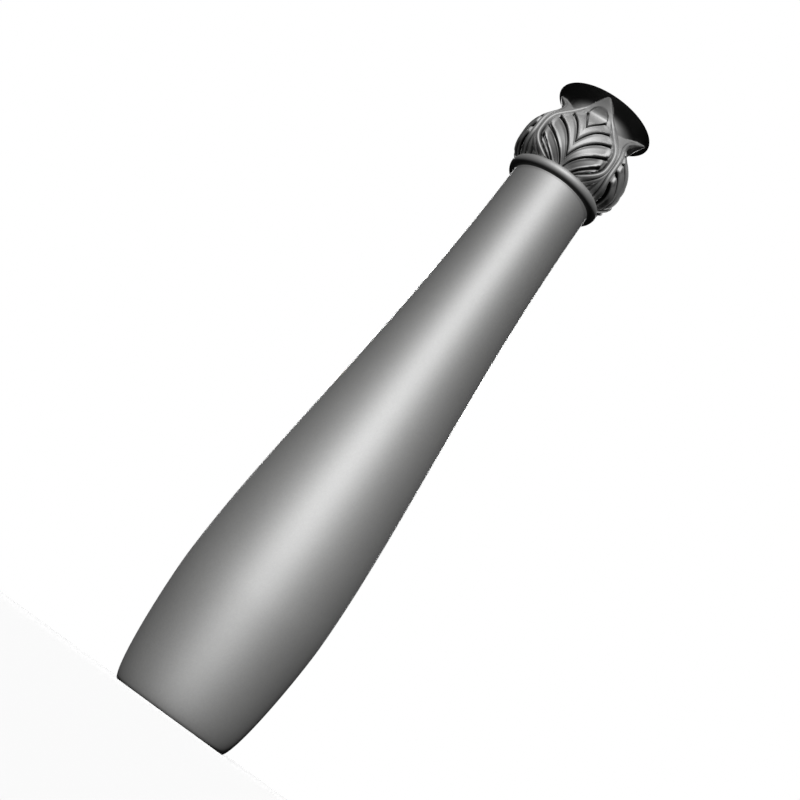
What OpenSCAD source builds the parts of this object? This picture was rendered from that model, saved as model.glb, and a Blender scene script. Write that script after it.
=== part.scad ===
// Carved stone baluster, cut from a single stone.
// A swelling shaft on a flat foot, a rounded neck ring, and a flared capital wrapped by four
// upright leaves with raised rims and paired lobes.
// Millimetres, +Z up, origin at the middle of the foot. One leaf faces each of -Y, +X, +Y, -X.

/* [Shaft] */
// height of the whole baluster, foot to top face
overall_h = 720; // [620:1:820]
// diameter of the flat foot
foot_d = 116; // [96:1:136]
// how far the side swells out just above the foot, control reach sideways
foot_flare_out = 9.7; // [6:0.1:14]
// height of that control reach
foot_flare_up = 15; // [8:1:28]
// diameter at the fullest part of the belly
belly_d = 148; // [138:1:164]
// height of the fullest part
belly_z = 127.3; // [105:0.1:145]
// how gently the belly turns in towards the foot
belly_reach_down = 30; // [20:1:60]
// how gently the belly turns in towards the neck
belly_reach_up = 124; // [90:1:160]
// diameter of the shaft where it meets the neck ring
neck_d = 86.9; // [78:0.1:98]
// length of the straighter run below the neck ring
neck_reach = 203.5; // [140:0.5:240]
// spread of that run per mm of length
neck_spread = 0.012; // [0:0.001:0.04]

/* [Neck ring] */
// distance from the top face down to the middle of the ring
ring_drop = 95.4; // [90:0.1:100]
// thickness of the round of the ring
ring_t = 11.4; // [9:0.1:13]
// diameter of the circle the round is swept along
ring_path_d = 89.8; // [84:0.1:98]

/* [Capital] */
// diameter of the top face
rim_d = 106; // [100:0.5:116]
// diameter of the capital where it rises from the ring
bud_foot_d = 93.4; // [88:0.1:98]
// diameter at the fullest part of the leaves
bud_belly_d = 117.8; // [108:0.1:126]
// distance from the top face down to the fullest part
bud_belly_drop = 65; // [58:0.5:72]
// diameter over the leaves at their narrowest
waist_d = 80.8; // [76:0.1:94]
// distance from the top face down to the narrowest part
waist_drop = 19.5; // [18:0.5:28]
// diameter over the leaf tips
tip_d = 100.6; // [94:0.1:104]
// distance from the top face down to the leaf tips
tip_drop = 2; // [1.5:0.1:5]
// diameter of the bell behind the leaves at its narrowest
bell_d = 69; // [64:0.5:76]
// distance from the top face down to where the bell starts to flare
bell_drop = 17; // [12:0.5:24]
// depth of the plain ground behind the leaves
ground_depth = 5; // [3.5:0.1:6]

/* [Leaves] */
// angle from a leaf's centre line to its margin at the widest
leaf_half_angle = 43.9; // [40:0.1:44.8]
// distance from the top face down to the widest part of a leaf
leaf_wide_drop = 63; // [56:0.5:70]
// fullness of the leaf above its widest part
leaf_point = 2.85; // [2:0.05:3.5]
// share of the width lost between the widest part and the ring
leaf_tuck = 0.3; // [0.1:0.01:0.45]
// how far the margins stand forward of the middle at the waist
leaf_cup = 1.9; // [0:0.1:3]
// how far the margins lie back behind the middle between waist and tip
leaf_fold = 2; // [0:0.1:6]
// width of the raised rim
rim_w = 4.9; // [3.5:0.1:6.5]
// height of the raised rim
rim_rise = 0.6; // [0.2:0.1:1.2]
// depth of the line cut inside the rim
rim_line = 0.9; // [0.4:0.1:1.6]
// slope of the leaf's side, fall in mm per mm outwards
side_slope = 0.69; // [0.5:0.01:1]

/* [Lobes] */
// depth of the cuts between lobes
cut_depth = 2.8; // [1.5:0.1:3.6]
// height of the lip along the lower edge of each lobe
lip_rise = 0.4; // [0:0.1:1]
// hollow scooped out of each lobe
scoop = 0.9; // [0.3:0.1:1.6]
// level of the plain strip between lobe ends and rim line
strip_level = -0.4; // [-1.2:0.1:0]
// half angle of the drop at the top of the leaf
drop_half_angle = 14.6; // [11:0.1:18]
// distance from the top face down to the widest part of the drop
drop_wide_drop = 21.5; // [18:0.5:26]
// height of the round top of the drop
drop_round_h = 9.4; // [7:0.1:12]

/* [Hidden] */
// Cuts between the lobes, lowest first: height of the V above the ring, rise to the outer end,
// angle of the outer end, share of the run that is straight, angle where the lobe above it ends.
cut_foot = [-13, -4, 7, 23, 43.3];
cut_rise = [30, 34, 35.6, 31.6, 22.2];
cut_end = [34, 35.6, 31.1, 25.6, 14.5];
cut_straight = [1, 0.7, 0.5, 0.45, 0.8];
lobe_end = [34.5, 36, 32.5, 27];
// Rows across one lobe, from its cut upwards, and the level of each.
lobe_rows = [0, 0.13, 0.3, 0.55, 0.8, 0.93];
lobe_level = [-cut_depth, lip_rise, -0.4 * scoop, -scoop, -0.3 * scoop, 0];
// Columns from the centre line to the rim line, as shares of that width.
field_cols = [0, 0.12, 0.28, 0.44, 0.6, 0.75, 0.87, 0.94];
foot_rows = 4;
drop_rows = 10;
smallest_step = 0.12;
profile_steps = 26;
$fn = 96;

ring_z = overall_h - ring_drop;
ring_r = ring_path_d / 2;
ring_top = ring_z + ring_t / 2;
// the shaft meets the round of the ring at its own radius
neck_z = ring_z - sqrt(pow(ring_t / 2, 2) - pow(ring_r - neck_d / 2, 2));
wide_z = overall_h - leaf_wide_drop;
tip_z = overall_h - tip_drop;
bud_z = overall_h - bud_belly_drop;
waist_z = overall_h - waist_drop;
bell_z = overall_h - bell_drop;
drop_z = overall_h - drop_wide_drop;

function clamp(x, lo, hi) = min(hi, max(lo, x));
function mix(a, b, t) = a + (b - a) * t;
function bez(a, b, c, d, t) =
    pow(1 - t, 3) * a + 3 * pow(1 - t, 2) * t * b + 3 * (1 - t) * t * t * c + pow(t, 3) * d;

// radius over the leaves at height z
function face_r(z) =
    z < bud_z ? mix(bud_foot_d / 2, bud_belly_d / 2, 1 - pow((bud_z - z) / (bud_z - ring_top), 2.6)) :
    z < waist_z ? mix(waist_d / 2, bud_belly_d / 2,
        (1 + cos(180 * pow((z - bud_z) / (waist_z - bud_z), 1.6))) / 2) :
    mix(waist_d / 2, tip_d / 2, pow((z - waist_z) / (tip_z - waist_z), 1.45));

// radius of the bell behind the leaves at height z
function bell_r(z) = z > bell_z
    ? mix(bell_d / 2, rim_d / 2, pow((z - bell_z) / bell_drop, 2.3))
    : face_r(z) - ground_depth - (face_r(bell_z) - ground_depth - bell_d / 2)
        * pow(max(0, z - bud_z) / (bell_z - bud_z), 4);

// angle from the centre line to the leaf margin at height z
function margin(z) =
    z > wide_z ? leaf_half_angle * (1 - pow(max(0, 1 - (tip_z - z) / (tip_z - wide_z)), leaf_point)
        - (z > tip_z ? (z - tip_z) / 8 : 0)) :
    leaf_half_angle * (1 - leaf_tuck * pow((wide_z - z) / (wide_z - ring_top), 2.6));

// how far the leaf lies back at angle h and height z: it is cupped at the waist
function fold(h, z) = pow(clamp(h / max(margin(z), 1), 0, 1), 2) * lookup(z, [
    [waist_z - 18.5, 0], [waist_z - 10.5, -0.45 * leaf_cup], [waist_z - 5.5, -leaf_cup],
    [waist_z - 0.5, -0.85 * leaf_cup], [mix(waist_z, tip_z, 0.2), 0.2 * leaf_fold],
    [mix(waist_z, tip_z, 0.43), 0.85 * leaf_fold], [mix(waist_z, tip_z, 0.66), leaf_fold], [tip_z, 0]]);

function margin_x(z) = margin(z) * PI / 180 * face_r(z);

// distance outwards from the leaf margin, square to it
function past_margin(h, z) = let (
        s = (margin_x(min(z + 0.5, overall_h)) - margin_x(z - 0.5)))
    (h * PI / 180 * face_r(z) - margin_x(z)) / sqrt(1 + s * s);

// height of cut k at angle h
function cut_run(x, w) = w * x + (1 - w) * (1 - pow(1 - x, 3));
function cut_z(k, h) = ring_top + cut_foot[k]
    + cut_rise[k] * cut_run(clamp(h / cut_end[k], 0, 1), cut_straight[k]);

// level of a lobe at share u of the way up from its cut
function lobe_at(u, i = 1) = i >= len(lobe_rows)
    ? mix(lobe_level[i - 1], -cut_depth, (u - lobe_rows[i - 1]) / (1 - lobe_rows[i - 1]))
    : u <= lobe_rows[i]
        ? mix(lobe_level[i - 1], lobe_level[i], (u - lobe_rows[i - 1]) / (lobe_rows[i] - lobe_rows[i - 1]))
        : lobe_at(u, i + 1);

// level of the drop and the plain field round it
function drop_at(h, z) = let (
        up = max(0, z - drop_z) / drop_round_h,
        side = h / drop_half_angle,
        q = 1 - sqrt(up * up + side * side))
    q > 0 ? lip_rise - scoop * min(1, 1.6 * q) : mix(-0.5 * cut_depth, strip_level, clamp(-q * 3, 0, 1));

// carved level inside the margin
function carved(h, z) = let (
        inner = [for (k = [0:4]) cut_z(k, h)],
        k = z < inner[0] ? -1 : z < inner[1] ? 0 : z < inner[2] ? 1 : z < inner[3] ? 2 : z < inner[4] ? 3 : 4)
    k < 0 ? strip_level :
    k == 4 ? drop_at(h, z) :
    mix(lobe_at((z - inner[k]) / (inner[k + 1] - inner[k])), strip_level,
        clamp((h - lobe_end[k] + 1.5) / 1.5, 0, 1));

// radius of the capital at angle h from a leaf's centre line and height z
function cap_r(h, z) = let (d = past_margin(h, z), leaf_r = face_r(z) - fold(h, z))
    z >= tip_z ? bell_r(z) :
    d > 0 ? max(bell_r(z), leaf_r - side_slope * d) :
    max(bell_r(z), leaf_r +
        (d > -0.98 * rim_w ? rim_rise * sin(-180 * d / rim_w) :
         d > -1.15 * rim_w ? -rim_line : carved(h, z)));

// columns of half a leaf, centre line to the line between two leaves
function cols(z) = let (
        m = max(margin(z), 7),
        x = m * PI / 180 * face_r(z),
        b = max(0.6, 1 - 1.02 * rim_w / x))
    concat([for (c = field_cols) c * b * m], [b * m, (1 + b) / 2 * m, m, mix(m, 45, 0.45), 45]);
half_cols = len(field_cols) + 4;

// rows of the capital at angle h: they follow the cuts, and settle level at the ring and the top
function raw_rows(h) = concat(
    [for (i = [0:foot_rows - 1]) mix(ring_top, max(ring_top, cut_z(0, h)), i / foot_rows)],
    [for (k = [0:3]) for (u = lobe_rows) mix(cut_z(k, h), cut_z(k + 1, h), u)],
    [for (i = [0:drop_rows - 1]) mix(cut_z(4, h), tip_z, 1 - pow(1 - i / drop_rows, 1.3))],
    [tip_z, (tip_z + overall_h) / 2, overall_h]);
function rows(h) = let (r = raw_rows(h)) [for (i = [0:len(r) - 1])
    max(r[i], i == 0 ? ring_top : ring_top + smallest_step * i)];
row_count = foot_rows + 4 * len(lobe_rows) + drop_rows + 3;
quarter = 2 * half_cols;
ring_cols = 4 * quarter;

// point in column j of the quarter and row i
function half_index(j) = j <= half_cols ? j : quarter - j;
function half_point(j, i) = let (
        z0 = rows(cols(wide_z)[j])[i],
        h0 = cols(z0)[j],
        z = rows(h0)[i],
        h = cols(z)[j])
    [h, z, cap_r(h, z)];

module shaft() {
    foot_r = foot_d / 2;
    belly_r = belly_d / 2;
    neck_r = neck_d / 2;
    lower = [for (i = [0:profile_steps - 1]) let (t = i / profile_steps)
        [bez(foot_r, foot_r + foot_flare_out, belly_r, belly_r, t),
         bez(0, foot_flare_up, belly_z - belly_reach_down, belly_z, t)]];
    upper = [for (i = [0:profile_steps]) let (t = i / profile_steps)
        [bez(belly_r, belly_r, neck_r + neck_spread * neck_reach, neck_r, t),
         bez(belly_z, belly_z + belly_reach_up, neck_z - neck_reach, neck_z, t)]];
    rotate_extrude()
        polygon(concat([[0, 0]], lower, upper, [[neck_r, ring_z], [0, ring_z]]));
}

module neck_ring() {
    rotate_extrude() {
        translate([ring_r, ring_z]) circle(d = ring_t);
        translate([0, ring_z - ring_t / 2 + 1]) square([ring_r, ring_t - 1]);
    }
}

module capital() {
    half = [for (j = [0:half_cols]) [for (i = [0:row_count - 1]) half_point(j, i)]];
    points = concat(
        [for (i = [0:row_count - 1]) for (q = [0:3]) for (j = [0:quarter - 1]) let (
            p = half[half_index(j)][i],
            a = 90 * q - 90 + (j <= half_cols ? p[0] : 90 - p[0]))
            [p[2] * cos(a), p[2] * sin(a), p[1]]],
        [[0, 0, ring_top], [0, 0, overall_h]]);
    low = row_count * ring_cols;
    sides = [for (i = [0:row_count - 2]) for (j = [0:ring_cols - 1]) let (
            a = i * ring_cols + j,
            b = i * ring_cols + (j + 1) % ring_cols,
            c = a + ring_cols,
            d = b + ring_cols,
            // the shorter diagonal follows the lobes on both halves of a leaf
            left = (j % quarter) < half_cols)
        each left ? [[a, c, d], [a, d, b]] : [[a, c, b], [b, c, d]]];
    top = low - ring_cols;
    caps = [for (j = [0:ring_cols - 1]) let (n = (j + 1) % ring_cols)
        each [[j, n, low], [top + n, top + j, low + 1]]];
    polyhedron(points = points, faces = concat(sides, caps), convexity = 8);
}

module baluster() {
    color([0.68, 0.68, 0.67]) union() {
        shaft();
        neck_ring();
        capital();
    }
}

baluster();
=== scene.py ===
import math

import bpy
import numpy as np
from mathutils import Matrix


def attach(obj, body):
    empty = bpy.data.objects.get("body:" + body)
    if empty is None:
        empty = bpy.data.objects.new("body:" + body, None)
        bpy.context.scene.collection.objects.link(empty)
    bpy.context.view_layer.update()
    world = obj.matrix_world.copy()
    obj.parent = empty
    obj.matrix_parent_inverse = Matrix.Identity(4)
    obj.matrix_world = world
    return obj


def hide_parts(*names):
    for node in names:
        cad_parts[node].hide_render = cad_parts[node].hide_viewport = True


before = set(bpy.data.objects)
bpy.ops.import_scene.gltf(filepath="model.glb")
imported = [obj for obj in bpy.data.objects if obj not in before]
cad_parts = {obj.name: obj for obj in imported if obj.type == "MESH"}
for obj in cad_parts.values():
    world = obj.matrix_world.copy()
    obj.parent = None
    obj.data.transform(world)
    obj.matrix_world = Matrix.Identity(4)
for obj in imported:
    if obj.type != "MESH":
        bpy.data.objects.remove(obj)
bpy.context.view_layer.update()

# ---------------------------------------------------------------------------------------------
# The studio: a plain pale floor and a white surround. A fill and a weaker key light the front
# from high up, two lamps stand behind and one overhead, and almost nothing comes from below, so
# that the undersides of the mouldings fall into shade.
# ---------------------------------------------------------------------------------------------
scene = bpy.context.scene
scene.view_settings.view_transform = "Standard"


def linear(hex_colour):
    """Linear colour of an sRGB hex value."""
    parts = [int(hex_colour[i:i + 2], 16) / 255 for i in (1, 3, 5)]
    return [c / 12.92 if c <= 0.04045 else ((c + 0.055) / 1.055) ** 2.4 for c in parts] + [1.0]


def add_node(tree, kind, settings=None, inputs=None, links=None):
    """Adds one node: settings are its own properties, inputs its values, links its feeds."""
    node = tree.nodes.new(kind)
    for name, value in (settings or {}).items():
        setattr(node, name, value)
    for name, value in (inputs or {}).items():
        node.inputs[name].default_value = value
    for name, source in (links or {}).items():
        tree.links.new(source, node.inputs[name])
    return node


def new_material(name):
    """An empty material with its output node."""
    material = bpy.data.materials.new(name)
    material.use_nodes = True
    material.node_tree.nodes.clear()
    return material, material.node_tree, add_node(material.node_tree, "ShaderNodeOutputMaterial")


def build_world():
    """White where the camera looks past the stone, nearly dark for everything else."""
    world = bpy.data.worlds.new("studio surround")
    world.use_nodes = True
    tree = world.node_tree
    tree.nodes.clear()
    path = add_node(tree, "ShaderNodeLightPath")
    white = linear("#FFFFFF")
    seen = add_node(tree, "ShaderNodeBackground", inputs={"Color": white, "Strength": 1.0})
    felt = add_node(tree, "ShaderNodeBackground", inputs={"Color": white, "Strength": 0.012})
    pick = add_node(tree, "ShaderNodeMixShader", links={0: path.outputs["Is Camera Ray"]})
    tree.links.new(felt.outputs[0], pick.inputs[1])
    tree.links.new(seen.outputs[0], pick.inputs[2])
    add_node(tree, "ShaderNodeOutputWorld", links={"Surface": pick.outputs[0]})
    scene.world = world


def build_floor():
    """Flat floor that looks white to the camera, takes the shadow, and throws little light up."""
    reach = 12.0
    mesh = bpy.data.meshes.new("studio_floor")
    corners = [(-reach, -reach, 0), (reach, -reach, 0), (reach, reach, 0), (-reach, reach, 0)]
    mesh.from_pydata(corners, [], [(0, 1, 2, 3)])
    floor = bpy.data.objects.new("studio_floor", mesh)
    scene.collection.objects.link(floor)
    material, tree, output = new_material("pale studio floor")
    path = add_node(tree, "ShaderNodeLightPath")
    paint = add_node(tree, "ShaderNodeBsdfDiffuse", inputs={"Color": linear("#C8C8C8")})
    dim = add_node(tree, "ShaderNodeBsdfDiffuse", inputs={"Color": linear("#1C1C1C")})
    glow = add_node(tree, "ShaderNodeEmission",
                    inputs={"Color": linear("#FFFFFF"), "Strength": 0.2})
    lit = add_node(tree, "ShaderNodeAddShader", links={0: paint.outputs[0], 1: glow.outputs[0]})
    pick = add_node(tree, "ShaderNodeMixShader", links={0: path.outputs["Is Camera Ray"]})
    tree.links.new(dim.outputs[0], pick.inputs[1])
    tree.links.new(lit.outputs[0], pick.inputs[2])
    tree.links.new(pick.outputs[0], output.inputs["Surface"])
    mesh.materials.append(material)


def aim(azimuth, elevation, roll=0.0):
    """Rotation that looks at the axis from azimuth degrees round from -Y and down by elevation."""
    turn = Matrix.Rotation(math.radians(azimuth), 3, "Z")
    tilt = Matrix.Rotation(math.radians(90 - elevation), 3, "X")
    spin = Matrix.Rotation(math.radians(roll), 3, "Z")
    return (turn @ tilt @ spin).to_4x4()


def place_lamp(name, azimuth, elevation, strength, spread, shadow):
    """A distant soft lamp. Without a shadow it lights all that faces it, sheltered or not."""
    lamp = bpy.data.lights.new(name, "SUN")
    lamp.energy = strength
    lamp.angle = math.radians(spread)
    lamp.use_shadow = shadow
    holder = bpy.data.objects.new(name, lamp)
    holder.matrix_world = aim(azimuth, elevation)
    scene.collection.objects.link(holder)


def place_foot_lamp():
    """A small low lamp on the foot and belly only, flagged off the capital."""
    place = (0.02, -1.7, 0.36)
    lamp = bpy.data.lights.new("foot lamp", "SPOT")
    lamp.energy = 20.0
    lamp.spot_size = math.radians(26)
    lamp.spot_blend = 1.0
    lamp.shadow_soft_size = 0.08
    holder = bpy.data.objects.new("foot lamp", lamp)
    holder.matrix_world = Matrix.Translation(place) @ aim(azimuth=0, elevation=10)
    scene.collection.objects.link(holder)


def place_camera():
    """Camera near the floor, looking up the shaft and tilted on its side."""
    azimuth = 9.9
    distance = 1.3686
    height = 0.00205
    look_up = 14.62
    roll = 36.09
    half_view = 15.0
    camera = bpy.data.cameras.new("view")
    camera.sensor_width = 36.0
    camera.lens = camera.sensor_width / 2 / math.tan(math.radians(half_view))
    camera.clip_start = 0.01
    holder = bpy.data.objects.new("view", camera)
    across = math.radians(azimuth)
    place = (distance * math.sin(across), -distance * math.cos(across), height)
    holder.matrix_world = Matrix.Translation(place) @ aim(azimuth, -look_up, roll)
    scene.collection.objects.link(holder)
    scene.camera = holder


build_world()
build_floor()
place_lamp("fill lamp", azimuth=4.2, elevation=30.5, strength=2.95, spread=5, shadow=False)
place_lamp("key lamp", azimuth=4.2, elevation=30.5, strength=0.8, spread=5, shadow=True)
place_lamp("left back lamp", azimuth=202, elevation=18, strength=1.6, spread=5, shadow=False)
place_lamp("right back lamp", azimuth=178, elevation=18, strength=1.6, spread=5, shadow=False)
place_lamp("top lamp", azimuth=190, elevation=84, strength=1.2, spread=40, shadow=True)
place_foot_lamp()
place_camera()

# ---------------------------------------------------------------------------------------------
# The stone's finish: a fine-grained grey limestone, rubbed smooth and sealed with a thin wax.
# Up close it shows fine pale and dark grains, a faint clouding, and a soft broad sheen.
# ---------------------------------------------------------------------------------------------
MM = 0.001


def build_stone():
    """Rubbed limestone: a mild speckle of grains, and near-black painted shade where marked."""
    # real grains are about 0.3 mm, too fine to show, so both grain sizes are drawn coarser
    grain = 1.1 * MM
    fine_grain = 0.6 * MM
    cloud = 60 * MM
    material, tree, output = new_material("rubbed grey limestone")
    place = add_node(tree, "ShaderNodeTexCoord")
    spots = add_node(tree, "ShaderNodeTexVoronoi", inputs={"Scale": 1 / grain},
                     links={"Vector": place.outputs["Object"]})
    spot_tone = add_node(tree, "ShaderNodeSeparateColor", links={"Color": spots.outputs["Color"]})
    clouds = add_node(tree, "ShaderNodeTexNoise", inputs={"Scale": 1 / cloud, "Detail": 4.0},
                      links={"Vector": place.outputs["Object"]})
    fine = add_node(tree, "ShaderNodeTexNoise", inputs={"Scale": 1 / fine_grain, "Detail": 2.0},
                    links={"Vector": place.outputs["Object"]})
    grains = add_node(tree, "ShaderNodeMix", {"data_type": "RGBA"},
                      {"A": linear("#5C5C5B"), "B": linear("#666665")},
                      {"Factor": spot_tone.outputs["Red"]})
    cloudy = add_node(tree, "ShaderNodeMapRange", inputs={"From Min": 0.3, "From Max": 0.7,
                                                          "To Min": 0.95, "To Max": 1.05},
                      links={"Value": clouds.outputs["Fac"]})
    stone_colour = add_node(tree, "ShaderNodeVectorMath", {"operation": "SCALE"},
                            links={0: grains.outputs["Result"], "Scale": cloudy.outputs["Result"]})
    shade_share = add_node(tree, "ShaderNodeAttribute", {"attribute_name": "painted_shade"})
    # near-black painted shade in the cuts, along the rim, between the leaves, under bell and ring
    colour = add_node(tree, "ShaderNodeMix", {"data_type": "RGBA"}, {"B": linear("#121212")},
                      {"Factor": shade_share.outputs["Fac"], "A": stone_colour.outputs["Vector"]})
    rough = add_node(tree, "ShaderNodeMapRange", inputs={"From Min": 0.3, "From Max": 0.7,
                                                         "To Min": 0.64, "To Max": 0.7},
                     links={"Value": fine.outputs["Fac"]})
    bump = add_node(tree, "ShaderNodeBump", inputs={"Strength": 0.15, "Distance": 0.05 * MM},
                    links={"Height": fine.outputs["Fac"]})
    outside_shade = add_node(tree, "ShaderNodeMath", {"operation": "SUBTRACT"}, {0: 1.0},
                    {1: shade_share.outputs["Fac"]})
    # limestone is near IOR 1.6: it is raised to match the object's strong, broad sheen. On the
    # near-black painted shade, Metallic only takes that sheen away, so the shade reflects nothing
    stone = add_node(tree, "ShaderNodeBsdfPrincipled",
                     inputs={"IOR": 2.3, "Specular IOR Level": 1.0,
                             "Coat Roughness": 0.7, "Coat IOR": 1.5},
                     links={"Base Color": colour.outputs["Result"],
                            "Roughness": rough.outputs["Result"],
                            "Normal": bump.outputs["Normal"], "Metallic": shade_share.outputs["Fac"],
                            "Coat Weight": outside_shade.outputs[0]})
    tree.links.new(stone.outputs[0], output.inputs["Surface"])
    return material


stone_finish = build_stone()

# ---------------------------------------------------------------------------------------------
# The shaft and neck ring, turned on a banker's lathe from the same block as the capital: a flat
# foot, a belly low down, a long easy run up to the neck, and a half-round ring worked under it.
# ---------------------------------------------------------------------------------------------
FOOT_R = 58.0
BELLY_R = 74.0
BELLY_Z = 127.3
NECK_R = 43.45
RING_Z = 624.6
RING_R = 44.9
RING_ROUND = 5.7
RING_TOP = RING_Z + RING_ROUND
NECK_Z = RING_Z - math.sqrt(RING_ROUND ** 2 - (RING_R - NECK_R) ** 2)


def group_tree(name, sizes):
    """A Geometry Nodes tree with one geometry input and the named size inputs."""
    tree = bpy.data.node_groups.new(name, "GeometryNodeTree")
    tree.interface.new_socket("Geometry", in_out="INPUT", socket_type="NodeSocketGeometry")
    for label, (kind, value) in sizes.items():
        tree.interface.new_socket(label, in_out="INPUT", socket_type=kind).default_value = value
    tree.interface.new_socket("Geometry", in_out="OUTPUT", socket_type="NodeSocketGeometry")
    given = add_node(tree, "NodeGroupInput")
    made = add_node(tree, "NodeGroupOutput")
    return tree, given, made


def run_tree(source, tree, values, name):
    """Runs the tree on the source mesh and keeps the result as a plain mesh."""
    modifier = source.modifiers.new("make", "NODES")
    modifier.node_group = tree
    for item in tree.interface.items_tree:
        if item.in_out == "INPUT" and item.name in values:
            modifier[item.identifier] = values[item.name]
    graph = bpy.context.evaluated_depsgraph_get()
    mesh = bpy.data.meshes.new_from_object(source.evaluated_get(graph))
    mesh.name = name
    bpy.data.objects.remove(source)
    return mesh


def mesh_object(name, points, edges, faces):
    """A mesh from its points, in an object at the origin."""
    mesh = bpy.data.meshes.new(name)
    mesh.from_pydata([tuple(p) for p in points], edges, faces)
    made = bpy.data.objects.new(name, mesh)
    scene.collection.objects.link(made)
    return made


def bezier(a, b, c, d, count):
    """Points on the curve from a to d that b and c pull."""
    t = np.linspace(0, 1, count)[:, None]
    a, b, c, d = (np.array(p, float) for p in (a, b, c, d))
    return (1 - t) ** 3 * a + 3 * (1 - t) ** 2 * t * b + 3 * (1 - t) * t ** 2 * c + t ** 3 * d


def shaft_profile():
    """Radius and height in mm, from the middle of the foot up to the top of the ring."""
    arris = 0.8
    foot_edge = (FOOT_R + 0.45, arris)
    foot_pull = (FOOT_R + 9.7, 15)
    belly_pull_down = (BELLY_R, BELLY_Z - 30)
    belly = (BELLY_R, BELLY_Z)
    belly_pull_up = (BELLY_R, BELLY_Z + 124)
    neck_pull = (NECK_R + 2.44, NECK_Z - 203.5)
    neck = (NECK_R, NECK_Z)
    foot = [(0, 0), (FOOT_R - 12, 0), (FOOT_R - arris, 0)]
    lower = bezier(foot_edge, foot_pull, belly_pull_down, belly, 26)
    upper = bezier(belly, belly_pull_up, neck_pull, neck, 44)[1:]
    start = math.atan2(NECK_Z - RING_Z, NECK_R - RING_R) + 2 * math.pi
    turns = np.linspace(start, 2.5 * math.pi, 26)[1:]
    ring = [(RING_R + RING_ROUND * math.cos(a), RING_Z + RING_ROUND * math.sin(a)) for a in turns]
    inside = [(20, RING_TOP), (0, RING_TOP)]
    return np.vstack([foot, lower, upper, ring, inside])


def turning_tree():
    """Sweeps the given profile once round the axis."""
    tree, given, made = group_tree("turn on the lathe", {"Columns": ("NodeSocketInt", 96),
                                                          "Rows": ("NodeSocketInt", 96)})
    columns = add_node(tree, "ShaderNodeMath", {"operation": "ADD"}, {1: 1.0},
                       {0: given.outputs["Columns"]})
    grid = add_node(tree, "GeometryNodeMeshGrid", inputs={"Size X": 1.0, "Size Y": 1.0},
                    links={"Vertices X": columns.outputs[0], "Vertices Y": given.outputs["Rows"]})
    row = add_node(tree, "GeometryNodeInputIndex")
    up = add_node(tree, "ShaderNodeMath", {"operation": "MODULO"},
                  links={0: row.outputs[0], 1: given.outputs["Rows"]})
    along = add_node(tree, "ShaderNodeMath", {"operation": "DIVIDE"},
                     links={0: row.outputs[0], 1: given.outputs["Rows"]})
    column = add_node(tree, "ShaderNodeMath", {"operation": "FLOOR"}, links={0: along.outputs[0]})
    share = add_node(tree, "ShaderNodeMath", {"operation": "DIVIDE"},
                     links={0: column.outputs[0], 1: given.outputs["Columns"]})
    angle = add_node(tree, "ShaderNodeMath", {"operation": "MULTIPLY"}, {1: 2 * math.pi},
                     {0: share.outputs[0]})
    place = add_node(tree, "GeometryNodeInputPosition")
    read = add_node(tree, "GeometryNodeSampleIndex",
                    {"data_type": "FLOAT_VECTOR", "domain": "POINT"},
                    links={"Geometry": given.outputs["Geometry"], "Value": place.outputs[0],
                           "Index": up.outputs[0]})
    spun = add_node(tree, "ShaderNodeVectorRotate", {"rotation_type": "Z_AXIS"},
                    links={"Vector": read.outputs["Value"], "Angle": angle.outputs[0]})
    moved = add_node(tree, "GeometryNodeSetPosition",
                     links={"Geometry": grid.outputs["Mesh"], "Position": spun.outputs[0]})
    closed = add_node(tree, "GeometryNodeMergeByDistance", inputs={"Distance": 0.001 * MM},
                      links={"Geometry": moved.outputs[0]})
    whole = add_node(tree, "GeometryNodeRealizeInstances", links={"Geometry": closed.outputs[0]})
    finish = add_node(tree, "GeometryNodeSetMaterial", inputs={"Material": stone_finish},
                      links={"Geometry": whole.outputs[0]})
    tree.links.new(finish.outputs[0], made.inputs[0])
    return tree


profile = shaft_profile() * MM
outline = mesh_object("shaft outline", [(r, 0, z) for r, z in profile],
                      [(i, i + 1) for i in range(len(profile) - 1)], [])
shaft_mesh = run_tree(outline, turning_tree(), {"Columns": 128, "Rows": len(profile)}, "shaft")

# ---------------------------------------------------------------------------------------------
# The capital, carved in the head of the same limestone: a hollow-sided bell flaring to the top
# face, and four upright pointed leaves laid against it, each with a raised rim, a drop under the
# point and four pairs of scooped lobes parted by deep cuts.
# ---------------------------------------------------------------------------------------------
TOP = 720.0
RIM_R = 53.0
# the leaf over its middle: its foot, its fullest part, its waist and its point
FOOT_OF_LEAF_R = 46.9
LEAF_R = 58.9
LEAF_Z = 655.0
WAIST_R = 40.4
WAIST_Z = 700.5
TIP_R = 50.3
TIP_Z = 718.0
# the bell at the height where it starts to flare, and how far it lies behind the leaf below that
BELL_R = 34.5
BELL_Z = 703.0
GROUND = 5.0
# the leaf's outline and its rim
LEAF_HALF_ANGLE = 43.9
LEAF_WIDE_Z = 657.0
RIM_W = 4.9
# how far the margins lie back behind the middle of the cupped leaf: heights, then depths
CUPPED_AT = [682, 690, 695, 700, 704, 708, 712, 718]
CUPPED_BY = [0, -0.9, -1.9, -1.6, 0.4, 1.7, 2.0, 0]
# the cuts between the lobes, lowest first: height of the V above the ring, rise to the outer
# end, angle of that end, share of the run that is straight, and where the lobe above ends
CUTS = [(-13, 30, 34, 1.0, 34.8), (-4, 34, 35.6, 0.7, 36.3), (7, 35.6, 31.1, 0.5, 33.5),
        (23, 31.6, 25.6, 0.45, 28.0), (43.3, 22.2, 14.5, 0.8, 15)]
# depth of a cut at the leaf's middle, and how much deeper it is at its outer end
CUT_DEPTH = 2.5
CUT_DEEPENS = 3.0
# depth of the hollow along each lobe, lowest first
LOBE_SINK = (2.6, 2.8, 2.1, 1.5)
LOBES = len(LOBE_SINK)
# the drop: height of its widest part, its height above that, and its half width as an angle
DROP_Z = 698.5
DROP_ROUND = 9.4
DROP_ANGLE = 14.6
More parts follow.
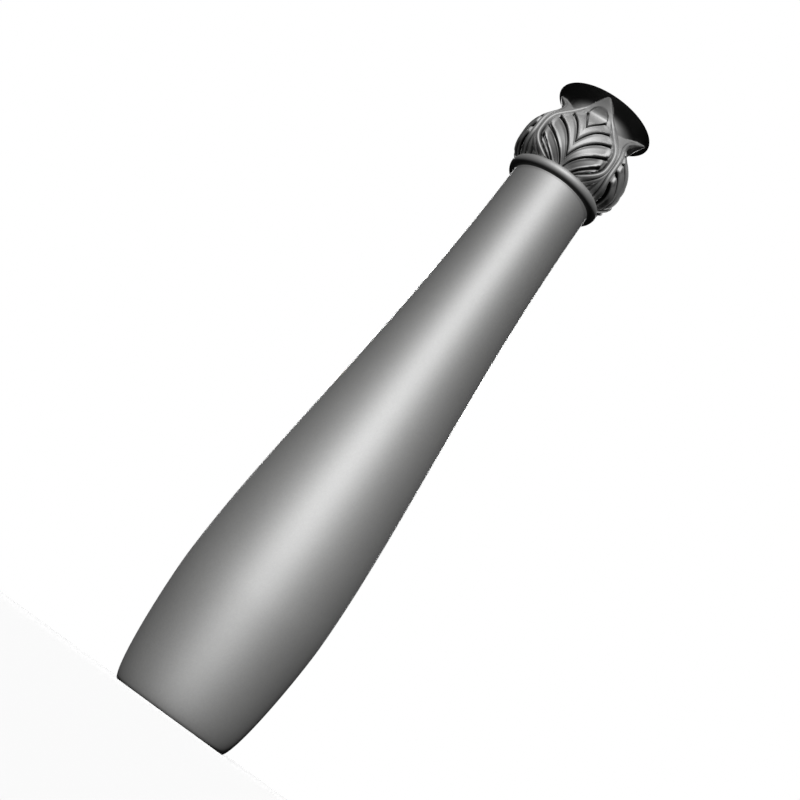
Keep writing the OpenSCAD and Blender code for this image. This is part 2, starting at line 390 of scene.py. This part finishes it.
# mesh columns across half a leaf's field, its rim and the gap beside it, and mesh rows below
# the lowest cut and above the highest
FIELD_COLUMNS = 42
RIM_COLUMNS = 10
GAP_COLUMNS = 15
FOOT_ROWS = 10
TIP_ROWS = 46


def step(x, low, high):
    """0 below low, 1 above high, smooth between."""
    t = np.clip((x - low) / (high - low), 0, 1)
    return t * t * (3 - 2 * t)


def ridge(x, middle, width):
    """1 at the middle, falling off smoothly on both sides."""
    return np.exp(-((x - middle) / width) ** 2)


def leaf_middle_r(z):
    """Radius over the middle of a leaf."""
    foot = FOOT_OF_LEAF_R + (LEAF_R - FOOT_OF_LEAF_R) * (
        1 - np.clip((LEAF_Z - z) / (LEAF_Z - RING_TOP), 0, 1) ** 2.6)
    turn = np.clip((z - LEAF_Z) / (WAIST_Z - LEAF_Z), 0, 1) ** 1.6
    body = WAIST_R + (LEAF_R - WAIST_R) * (1 + np.cos(math.pi * turn)) / 2
    head = WAIST_R + (TIP_R - WAIST_R) * np.clip((z - WAIST_Z) / (TIP_Z - WAIST_Z), 0, 1.1) ** 1.45
    return np.where(z < LEAF_Z, foot, np.where(z < WAIST_Z, body, head))


def bell_r(z):
    """Radius of the bell: behind the leaf low down, then flaring to the rim."""
    flare = BELL_R + (RIM_R - BELL_R) * np.clip((z - BELL_Z) / (TOP - BELL_Z), 0, 1) ** 2.3
    behind = leaf_middle_r(z) - GROUND - 3 * step(z, 680, 700)
    return np.maximum(np.where(z < BELL_Z, behind, 0), flare)


def margin(z):
    """Angle from a leaf's middle to its margin."""
    below_tip = np.clip((TIP_Z - z) / (TIP_Z - LEAF_WIDE_Z), 0, 1)
    to_foot = np.clip((LEAF_WIDE_Z - z) / (LEAF_WIDE_Z - RING_TOP), 0, 1)
    upper = LEAF_HALF_ANGLE * (1 - (1 - below_tip) ** 2.85) - np.maximum(0, z - TIP_Z) * 6
    lower = LEAF_HALF_ANGLE * (1 - 0.3 * to_foot ** 2.6)
    return np.where(z > LEAF_WIDE_Z, upper, lower)


def rim_width(z):
    """Width in mm of the leaf's raised rim, which narrows towards the point."""
    return RIM_W - 1.5 * step(z, 676, 700) - 1.2 * step(z, 700, 714)


def fold(z):
    """How far the leaf's margins lie back behind its middle: it is cupped at the waist."""
    return np.interp(z, CUPPED_AT, CUPPED_BY)


def arc(angle, z):
    """Length in mm along the leaf's face for an angle from its middle."""
    return np.radians(angle) * leaf_middle_r(z)


def past_margin(angle, z):
    """Distance outwards from the leaf's margin, square to it."""
    slope = arc(margin(z + 0.5), z + 0.5) - arc(margin(z - 0.5), z - 0.5)
    return (arc(angle, z) - arc(margin(z), z)) / np.sqrt(1 + slope ** 2)


def cut_z(k, angle):
    """Height of a cut at an angle from the leaf's middle."""
    foot, rise, end, straight, _ = CUTS[k]
    x = np.clip(angle / end, 0, 1)
    return RING_TOP + foot + rise * (straight * x + (1 - straight) * (1 - (1 - x) ** 3))


def soft_min(a, b, reach):
    """The lower of two levels, blended where they meet."""
    t = np.clip(0.5 + 0.5 * (b - a) / reach, 0, 1)
    return b + (a - b) * t - reach * t * (1 - t)


def lobe_relief(angle, z, field):
    """Level of the lobes, cuts and drop over the plain field, and the painted shade in the cuts.
    """
    cuts = []
    painted_shade = np.zeros_like(z)
    for k in range(LOBES + 1):
        low = cut_z(k, angle)
        slope = (cut_z(k, angle + 0.5) - low) / arc(0.5, z)
        square = 1 / np.sqrt(1 + slope ** 2)
        share = np.clip(angle / CUTS[k][2], 0, 1)
        cuts.append((low, square, CUT_DEPTH + CUT_DEEPENS * share))
    # the field, with a wide V sunk along each cut
    level = field.copy()
    for k in range(LOBES + 1):
        low, square, deep = cuts[k]
        away = (z - low) * square
        end = CUTS[k][2]
        sunk = np.maximum(0, deep + field) * (1 - step(angle, end - 0.5, end + 3.5))
        level = level - sunk * ridge(away, 0, np.where(away > 0, 0.9, 1.2))
        share = np.clip(angle / end, 0, 1)
        wide = 1.0 + 2.3 * share
        # painted shade along the underside of each cut, wider towards its outer end
        cut_shade = step(away, -0.2 - 0.9 * share, 0.1) * (1 - step(away, 0.45 * wide, wide))
        painted_shade = np.maximum(painted_shade, cut_shade * (1 - step(angle, end + 0.5, end + 3)))
    # the lobes: a steep underside up to a lip, then a V hollow that runs out at the outer end
    for k in range(LOBES):
        low, square, deep = cuts[k]
        high, _, deep_above = cuts[k + 1]
        tall = np.maximum(0.6, high - low)
        thick = tall * square
        share = (z - low) / tall
        above = share * thick
        below = (1 - share) * thick
        to_end = arc(CUTS[k][4] - angle, z)
        radius = np.minimum(thick / 2, 4.6)
        side = np.maximum(0, abs(share - 0.5) * thick - (thick / 2 - radius))
        inside = radius - np.sqrt(side ** 2 + np.maximum(0, radius - to_end) ** 2)
        open_part = step(to_end, 1.0, 11.0)
        hollow = np.interp(share, [0.0, 0.16, 0.46, 0.95, 1.0],
                           [0.6, 0.9, -LOBE_SINK[k], 0.3, 0.0])
        end_round = 1.0 - 3.2 * (share - 0.5) ** 2
        body = hollow * open_part + end_round * (1 - open_part)
        body = soft_min(body, -deep + above * (deep + 0.9) / (0.1 + 0.55 * deep), 0.5)
        body = soft_min(body, -deep_above + below * 5.0, 0.4)
        dome = -2.2 + 3.4 * np.sqrt(1 - np.clip(1 - inside / 3.2, 0, 1) ** 2)
        body = soft_min(body, dome + np.minimum(0, inside) * 2, 0.5)
        here = (share > -0.02) & (share < 1.02) & (to_end > -0.5)
        hook = here * step(-inside, -0.2, 0.6) * (1 - step(share, 0.3, 0.55))
        # outside a lobe's lower outer corner the cut hooks round, and shade is painted there too
        level = np.where(here, np.maximum(level - 0.8 * hook, body), level)
        painted_shade = np.maximum(painted_shade, hook)
    # the drop: pointed below, round above, hollowed to a V across its middle
    low, square, deep = cuts[LOBES]
    up = np.maximum(0, z - DROP_Z) / DROP_ROUND
    inside = 10 * (1 - np.sqrt(up ** 2 + (angle / DROP_ANGLE) ** 2))
    turn_z = DROP_Z + 1.0
    hollow = np.interp(z - turn_z, [-14, -2, 0, 2, 4, 6.5, 8.4],
                       [0.9, -2.1, -2.5, -2.6, -2.3, -1.3, -0.1])
    body = soft_min(hollow, -deep + (z - low) * square * 2.6, 0.4)
    body = soft_min(body, -1.6 + abs(inside) * 2.4 + 2.2 * step(z, 697, 701), 0.4)
    return np.where((z > low) & (inside > -0.3), body, level), painted_shade


def capital_r(angle, z):
    """Radius in mm and share of painted shade at an angle from a leaf's middle and a height."""
    past = past_margin(angle, z)
    inside = -past
    share = np.clip(angle / np.maximum(margin(z), 1), 0, 1)
    face = leaf_middle_r(z) - fold(z) * share ** 2
    low = 1 - step(z, 632, 655)
    high = step(z, 690, 706)
    top_fade = 1 - step(z, 714, TIP_Z)
    # the rim: a bead low down, a rounded edge near the point, and a groove along its inner side
    rim_w = rim_width(z)
    bead = 1.15 * np.sqrt(np.clip(1 - ((inside - rim_w / 2) / (rim_w / 2)) ** 2, 0, 1))
    edge = -1.5 * (1 - np.sqrt(1 - np.clip(1 - inside / 2.2, 0, 1) ** 2))
    rim = bead + (edge - bead) * high
    line = (0.9 + 2.0 * low) * (1 - high) * ridge(inside, rim_w + 0.3, 0.6 + 0.6 * low)
    # the carving inside the rim
    within_rim = step(inside, rim_w - 0.3, rim_w + 0.7)
    field = -2.8 + 2.0 * np.clip((inside - rim_w - 0.6) / 5.0, 0, 1)
    field = field * (1 - high) * step(inside, rim_w - 0.3, rim_w + 1.0)
    carved, painted_shade = lobe_relief(angle, z, field)
    over = face + (rim + carved * within_rim - line) * top_fade
    # the leaf's edge, and outside it a slope down to the bell, or low down a flat band
    crease = (1 - 0.55 * step(z, 662, 692)) * (1 - step(z, 708, 715))
    edge_line = 1.3 * ridge(past, 0.15, 0.55) * crease
    outer = np.maximum(past, 0)
    level_side = 1 - step(z, 644, 662)
    steep = 0.69 + 1.5 * step(z, 701, 711)
    slope_side = steep * outer + (1.0 * high - 0.55 * (1 - high)) * (1 - np.exp(-outer / 0.8))
    band_side = 0.7 + 0.12 * outer + (GROUND - 1) * step(outer, 3.0, 4.4)
    side = face - slope_side * (1 - level_side) - band_side * level_side * step(outer, 0, 0.8)
    leaf = np.where(past > 0, side, over) - edge_line * top_fade
    radius = np.where(z >= TIP_Z, bell_r(z), np.maximum(bell_r(z), leaf))
    # painted shade: sunk strip, leaf edge, along the rim, between the leaves, under the bell
    painted_shade = np.maximum(painted_shade, 0.12 * step(-field, 1.0, 2.4)) * within_rim * (z < 712)
    painted_shade = np.maximum(painted_shade, 0.9 * ridge(past, 0.2, 0.6) * crease)
    painted_shade = np.maximum(painted_shade, ridge(inside, rim_w + 0.6, 1.0) * (1 - step(z, 650, 682)))
    painted_shade = np.maximum(painted_shade, ridge(outer, 3.9, 0.7) * level_side)
    bare_bell = np.where(z >= TIP_Z, 1.0, step(radius - leaf, 0, 0.7))
    # painted shade on the bell's underside, where it flares out under the rim
    under = 0.9 * step(z, 707, 713) * bare_bell
    return radius, np.maximum(painted_shade, under)


def shares(count):
    """Even shares from 0 up to but not with 1."""
    return np.linspace(0, 1, count + 1)[:-1]


def half_columns(z):
    """Angles of the columns from a leaf's middle to half way to the next, one row per height."""
    half_way = 45
    wide = np.maximum(margin(z), 5.0)[..., None]
    line = np.maximum(0.5, 1 - (rim_width(z) + 0.3) / arc(wide[..., 0], z))[..., None]
    field = (1 - (1 - shares(FIELD_COLUMNS)) ** 1.3) * line * wide
    rim = (line + (1 - line) * shares(RIM_COLUMNS)) * wide
    side = wide + (half_way - wide) * np.linspace(0, 1, GAP_COLUMNS) ** 1.6
    return np.concatenate([field, rim, side], axis=-1)


def row_heights(angle):
    """Heights of the rows at each angle: they follow the cuts and run level at foot and top."""
    cuts = [cut_z(k, angle) for k in range(LOBES + 1)]
    first, last = np.maximum(cuts[0], RING_TOP), cuts[LOBES]
    # shares of the height of a lobe: closest together where its underside is steep
    lobe = np.array([0, 0.03, 0.06, 0.09, 0.12, 0.16, 0.21, 0.27, 0.34, 0.4, 0.46, 0.52, 0.6, 0.68,
                     0.76, 0.83, 0.89, 0.93, 0.965])
    rows = [RING_TOP + (first - RING_TOP) * t for t in shares(FOOT_ROWS)]
    for k in range(LOBES):
        rows += [cuts[k] + (cuts[k + 1] - cuts[k]) * t for t in lobe]
    rows += [last + (TIP_Z - last) * (1 - (1 - t) ** 1.25) for t in shares(TIP_ROWS)]
    rows += [np.full_like(last, TIP_Z + (TOP - TIP_Z) * t) for t in (0, 0.25, 0.5, 0.75, 1.0)]
    rows = np.array(rows)
    # rows that would run below the ring are stacked a hair apart on top of it
    floor = RING_TOP + 0.03 * np.arange(len(rows))[:, None]
    return np.maximum(rows, floor)


def both_halves(half, sign):
    """The rows of a whole leaf from those of one half: sign is -1 for what changes side."""
    return np.hstack([sign * half[:, :0:-1], half])


def quarter_of_capital():
    """One leaf with the bell behind it, from the line between leaves to the next such line."""
    angle = half_columns(np.array([LEAF_WIDE_Z]))[0]
    rows = row_heights(angle)
    angle = np.repeat(angle[None], len(rows), axis=0)
    # each column's angle depends on its height and each row's height on its angle: settle both
    each = np.arange(rows.shape[1])
    for _ in range(6):
        columns = np.stack([half_columns(rows[i])[each, each] for i in range(len(rows))])
        angle = 0.5 * angle + 0.5 * columns
        rows = np.stack([row_heights(angle[i])[i] for i in range(len(rows))])
    radius, painted_shade = capital_r(angle, rows)
    # the foot turns in under the leaf and stands inside the ring; the top turns in to the axis
    foot_z = rows[0] - 2.0
    foot_r = np.minimum(radius[0] - 1.0, 46.0)
    rows = np.vstack([np.full_like(foot_z, RING_TOP - 3), foot_z, rows, np.full_like(foot_z, TOP)])
    radius = np.vstack([np.zeros_like(foot_r), foot_r, radius, np.zeros_like(foot_r)])
    angle = np.vstack([angle[0], angle[0], angle, angle[-1]])
    painted_shade = np.vstack([painted_shade[0], painted_shade[0], painted_shade, np.zeros_like(foot_r)])
    angle = both_halves(angle, -1)
    radius, rows, painted_shade = (both_halves(half, 1) for half in (radius, rows, painted_shade))
    turn = np.radians(angle - 90)
    points = np.stack([radius * np.cos(turn), radius * np.sin(turn), rows], axis=-1) * MM
    high, wide = rows.shape
    faces = [(i * wide + j, i * wide + j + 1, (i + 1) * wide + j + 1, (i + 1) * wide + j)
             for i in range(high - 1) for j in range(wide - 1)]
    quarter = mesh_object("quarter of the capital", points.reshape(-1, 3), [], faces)
    # the share of painted shade at each point is kept on the mesh
    quarter.data.attributes.new("painted_shade", "FLOAT", "POINT").data.foreach_set("value", painted_shade.ravel())
    return quarter


def repeating_tree():
    """Repeats the given quarter round the axis and welds the quarters together."""
    tree, given, made = group_tree("repeat round the axis", {"Count": ("NodeSocketInt", 4)})
    places = add_node(tree, "GeometryNodePoints", inputs={"Position": (0, 0, 0)},
                      links={"Count": given.outputs["Count"]})
    number = add_node(tree, "GeometryNodeInputIndex")
    share = add_node(tree, "ShaderNodeMath", {"operation": "DIVIDE"},
                     links={0: number.outputs[0], 1: given.outputs["Count"]})
    angle = add_node(tree, "ShaderNodeMath", {"operation": "MULTIPLY"}, {1: 2 * math.pi},
                     {0: share.outputs[0]})
    turn = add_node(tree, "ShaderNodeCombineXYZ", links={"Z": angle.outputs[0]})
    copies = add_node(tree, "GeometryNodeInstanceOnPoints",
                      links={"Points": places.outputs[0], "Instance": given.outputs["Geometry"],
                             "Rotation": turn.outputs[0]})
    whole = add_node(tree, "GeometryNodeRealizeInstances", links={"Geometry": copies.outputs[0]})
    closed = add_node(tree, "GeometryNodeMergeByDistance", inputs={"Distance": 0.002 * MM},
                      links={"Geometry": whole.outputs[0]})
    finish = add_node(tree, "GeometryNodeSetMaterial", inputs={"Material": stone_finish},
                      links={"Geometry": closed.outputs[0]})
    tree.links.new(finish.outputs[0], made.inputs[0])
    return tree


capital_mesh = run_tree(quarter_of_capital(), repeating_tree(), {"Count": 4}, "capital")

# ---------------------------------------------------------------------------------------------
# The whole baluster: the turned part and the carved head are one block of limestone, so they are
# one piece. It stands on its flat foot, and nothing is fixed to it.
# ---------------------------------------------------------------------------------------------


def ring_underside_shade(r, z):
    """Share of painted shade on the underside of the ring."""
    across, down = (r / MM - RING_R) / RING_ROUND, (RING_Z - z / MM) / RING_ROUND
    on_ring = 0.9 < math.hypot(across, down) < 1.1 and r > (NECK_R + 0.3) * MM
    return float(0.75 * step(down, 0.45, 0.95)) if on_ring else 0.0


def join(name, meshes):
    """One piece from the given meshes, each with its painted shade."""
    points, faces, painted_shade = [], [], []
    for mesh in meshes:
        start = len(points)
        shade_share = mesh.attributes.get("painted_shade")
        if shade_share:
            painted_shade += [d.value for d in shade_share.data]
        else:
            painted_shade += [ring_underside_shade(math.hypot(v.co.x, v.co.y), v.co.z) for v in mesh.vertices]
        points += [tuple(v.co) for v in mesh.vertices]
        faces += [[start + i for i in p.vertices] for p in mesh.polygons]
    piece = mesh_object(name, points, [], faces)
    piece.data.attributes.new("painted_shade", "FLOAT", "POINT").data.foreach_set("value", painted_shade)
    piece.data.materials.append(stone_finish)
    piece.data.polygons.foreach_set("use_smooth", [True] * len(piece.data.polygons))
    piece.data.set_sharp_from_angle(angle=math.radians(50))
    return piece


baluster = join("baluster_stone", [shaft_mesh, capital_mesh])
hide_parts("baluster")
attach(baluster, "root")
